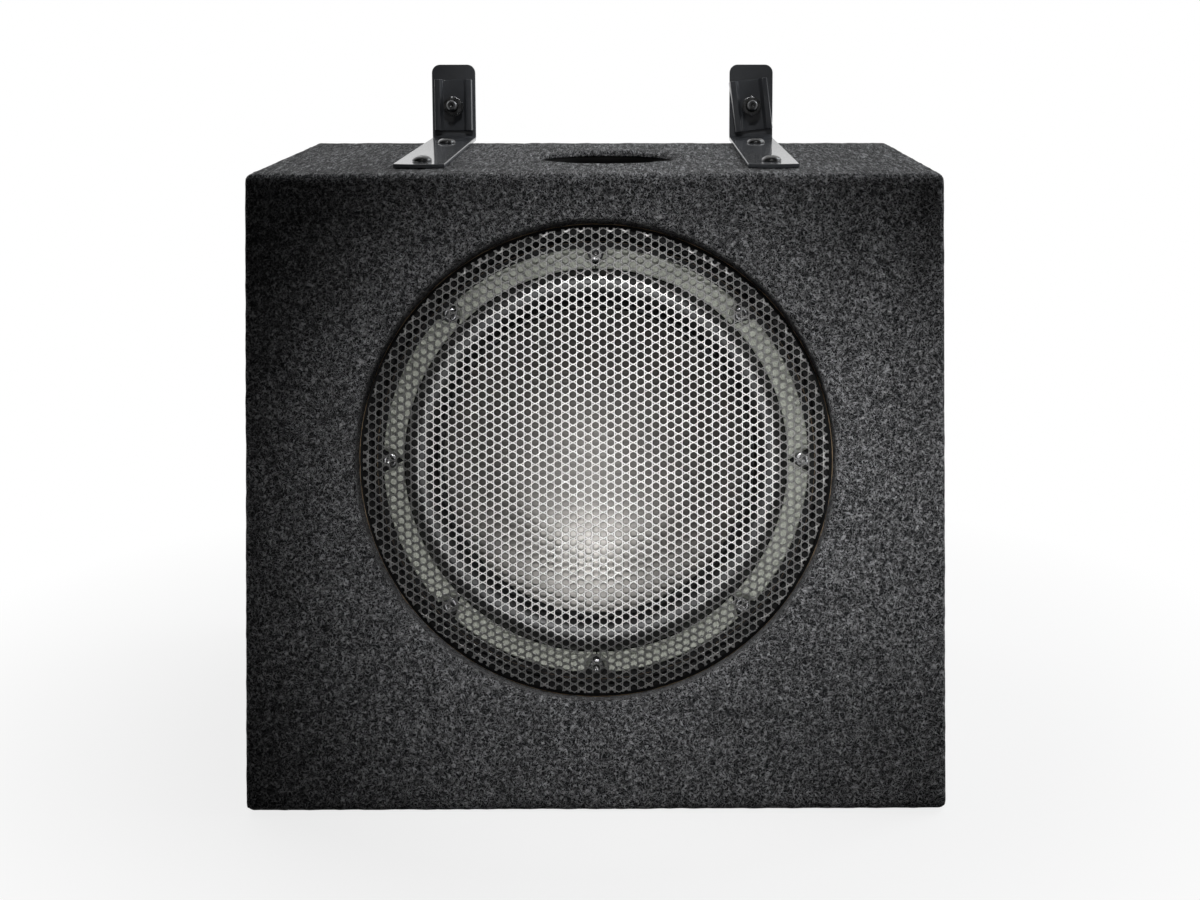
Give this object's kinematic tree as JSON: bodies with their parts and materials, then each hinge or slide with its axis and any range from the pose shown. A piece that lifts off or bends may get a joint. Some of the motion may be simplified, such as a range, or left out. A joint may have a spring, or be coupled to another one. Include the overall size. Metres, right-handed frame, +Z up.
{
  "type": "powered car subwoofer",
  "caption": "Carpeted wedge enclosure with a ten-inch driver behind a perforated dished grille, a top reflex port, a side amplifier and clamp brackets over its rear edge.",
  "frame": {"origin": "centre of the underside, where the enclosure stands", "axes": "+Z up, the leaning baffle faces -Y, +X is the viewer's right seen from the front"},
  "size_m": [0.4366, 0.3646, 0.4253],
  "materials": {
    "timber": "raw medium-density fibreboard",
    "carpet": "needle-punched charcoal felt with pale fibre flecks",
    "port_plastic": "matt black",
    "wadding": "loose white polyester",
    "grille_steel": "satin dark paint on hexagon-perforated sheet",
    "grille_ring_plastic": "matt black",
    "basket_steel": "black powder coat",
    "gasket_foam": "pale grey-green closed foam",
    "surround_rubber": "satin butyl rubber",
    "cone_paper": "pressed paper pulp",
    "dish_metal": "satin spun dish, warm grey",
    "former_film": "amber polyimide film",
    "copper_wire": "enamelled copper winding",
    "spider_cloth": "resin-treated woven cloth",
    "motor_steel": "zinc-plated turned steel",
    "ferrite": "sintered, dull",
    "black_plastic": "moulded, fine texture",
    "black_screw": "black oxide",
    "bracket_steel": "smooth semi-gloss black enamel",
    "amp_alloy": "black anodised",
    "zinc_steel": "galvanised sheet",
    "circuit_board": "green solder resist",
    "fuse_plastic": "translucent blue",
    "cable_jacket": "black PVC"
  },
  "bodies": {
    "enclosure": {"amp_circuit_board": "circuit_board", "amp_cover": "zinc_steel", "amp_fuse": "fuse_plastic", "amp_panel": "amp_alloy", "amp_transformer": "copper_wire", "back_plate": "motor_steel", "bottom_panel": "timber", "bracket_left": "bracket_steel", "bracket_right": "bracket_steel", "bracket_screw_left_front": "black_screw", "bracket_screw_left_rear": "black_screw", "bracket_screw_right_front": "black_screw", "bracket_screw_right_rear": "black_screw", "carpet_left": "carpet", "carpet_right": "carpet", "carpet_wrap": "carpet", "clamp_stud_left": "black_screw", "clamp_stud_right": "black_screw", "damping_wadding": "wadding", "driver_basket": "basket_steel", "driver_board": "timber", "driver_gasket": "gasket_foam", "driver_screw_1": "black_screw", "driver_screw_2": "black_screw", "driver_screw_3": "black_screw", "driver_screw_4": "black_screw", "driver_screw_5": "black_screw", "driver_screw_6": "black_screw", "driver_screw_7": "black_screw", "driver_screw_8": "black_screw", "driver_terminal": "black_plastic", "front_baffle": "timber", "grille_mesh": "grille_steel", "grille_ring": "grille_ring_plastic", "left_side_panel": "timber", "magnet": "ferrite", "port_tube": "port_plastic", "power_terminal": "black_plastic", "rca_jacks": "black_plastic", "rear_panel": "timber", "right_side_panel": "timber", "speaker_lead": "cable_jacket", "spider": "spider_cloth", "surround": "surround_rubber", "top_panel": "timber", "top_plate": "motor_steel"},
    "driver_cone": {"cone": "cone_paper", "cone_dish": "dish_metal", "voice_coil_former": "former_film", "voice_coil": "copper_wire"},
    "knob_gain": {"knob_gain": "black_plastic"},
    "knob_lowpass": {"knob_lowpass": "black_plastic"},
    "knob_bass_boost": {"knob_bass_boost": "black_plastic"},
    "phase_switch": {"phase_switch": "black_plastic"},
    "clamp_washer_left": {"clamp_washer_left": "black_screw"},
    "clamp_nut_left": {"clamp_nut_left": "black_screw"},
    "clamp_jaw_left": {"clamp_jaw_left": "bracket_steel"},
    "clamp_washer_right": {"clamp_washer_right": "black_screw"},
    "clamp_nut_right": {"clamp_nut_right": "black_screw"},
    "clamp_jaw_right": {"clamp_jaw_right": "bracket_steel"}
  },
  "joints": [
    {"name": "cone_stroke", "type": "slide", "parent": "enclosure", "child": "driver_cone", "axis": [0, -0.9659, 0.2588], "range_m": [-0.008, 0.008], "stiffness_N_per_m": 5000, "deforming": ["surround", "spider"]},
    {"name": "gain_turn", "type": "hinge", "parent": "enclosure", "child": "knob_gain", "pos_m": [0.215, 0.035, 0.172], "axis": [1, 0, 0], "range_deg": [-150, 150]},
    {"name": "lowpass_turn", "type": "hinge", "parent": "enclosure", "child": "knob_lowpass", "pos_m": [0.215, 0.065, 0.172], "axis": [1, 0, 0], "range_deg": [-150, 150]},
    {"name": "bass_boost_turn", "type": "hinge", "parent": "enclosure", "child": "knob_bass_boost", "pos_m": [0.215, 0.095, 0.172], "axis": [1, 0, 0], "range_deg": [-150, 150]},
    {"name": "phase_slide", "type": "slide", "parent": "enclosure", "child": "phase_switch", "axis": [0, 0, 1], "range_m": [0, 0.003]},
    {"name": "clamp_travel_left", "type": "slide", "parent": "enclosure", "child": "clamp_washer_left", "axis": [0, -0.9903, 0.1392], "range_m": [0, 0.006]},
    {"name": "nut_turn_left", "type": "hinge", "parent": "clamp_washer_left", "child": "clamp_nut_left", "pos_m": [-0.11, 0.18225, 0.39528], "axis": [0, -0.9903, 0.1392], "range_deg": [0, 1730]},
    {"name": "jaw_swivel_left", "type": "hinge", "parent": "clamp_washer_left", "child": "clamp_jaw_left", "pos_m": [-0.11, 0.18225, 0.39528], "axis": [0, -0.9903, 0.1392], "range_deg": [-9, 9]},
    {"name": "clamp_travel_right", "type": "slide", "parent": "enclosure", "child": "clamp_washer_right", "axis": [0, -0.9903, 0.1392], "range_m": [0, 0.006]},
    {"name": "nut_turn_right", "type": "hinge", "parent": "clamp_washer_right", "child": "clamp_nut_right", "pos_m": [0.11, 0.18225, 0.39528], "axis": [0, -0.9903, 0.1392], "range_deg": [0, 1730]},
    {"name": "jaw_swivel_right", "type": "hinge", "parent": "clamp_washer_right", "child": "clamp_jaw_right", "pos_m": [0.11, 0.18225, 0.39528], "axis": [0, -0.9903, 0.1392], "range_deg": [-16, 2]}
  ],
  "couplings": [
    {"joint": "nut_turn_left", "follows": "clamp_travel_left", "rad_per_m": 5026.6},
    {"joint": "nut_turn_right", "follows": "clamp_travel_right", "rad_per_m": 5026.6}
  ]
}
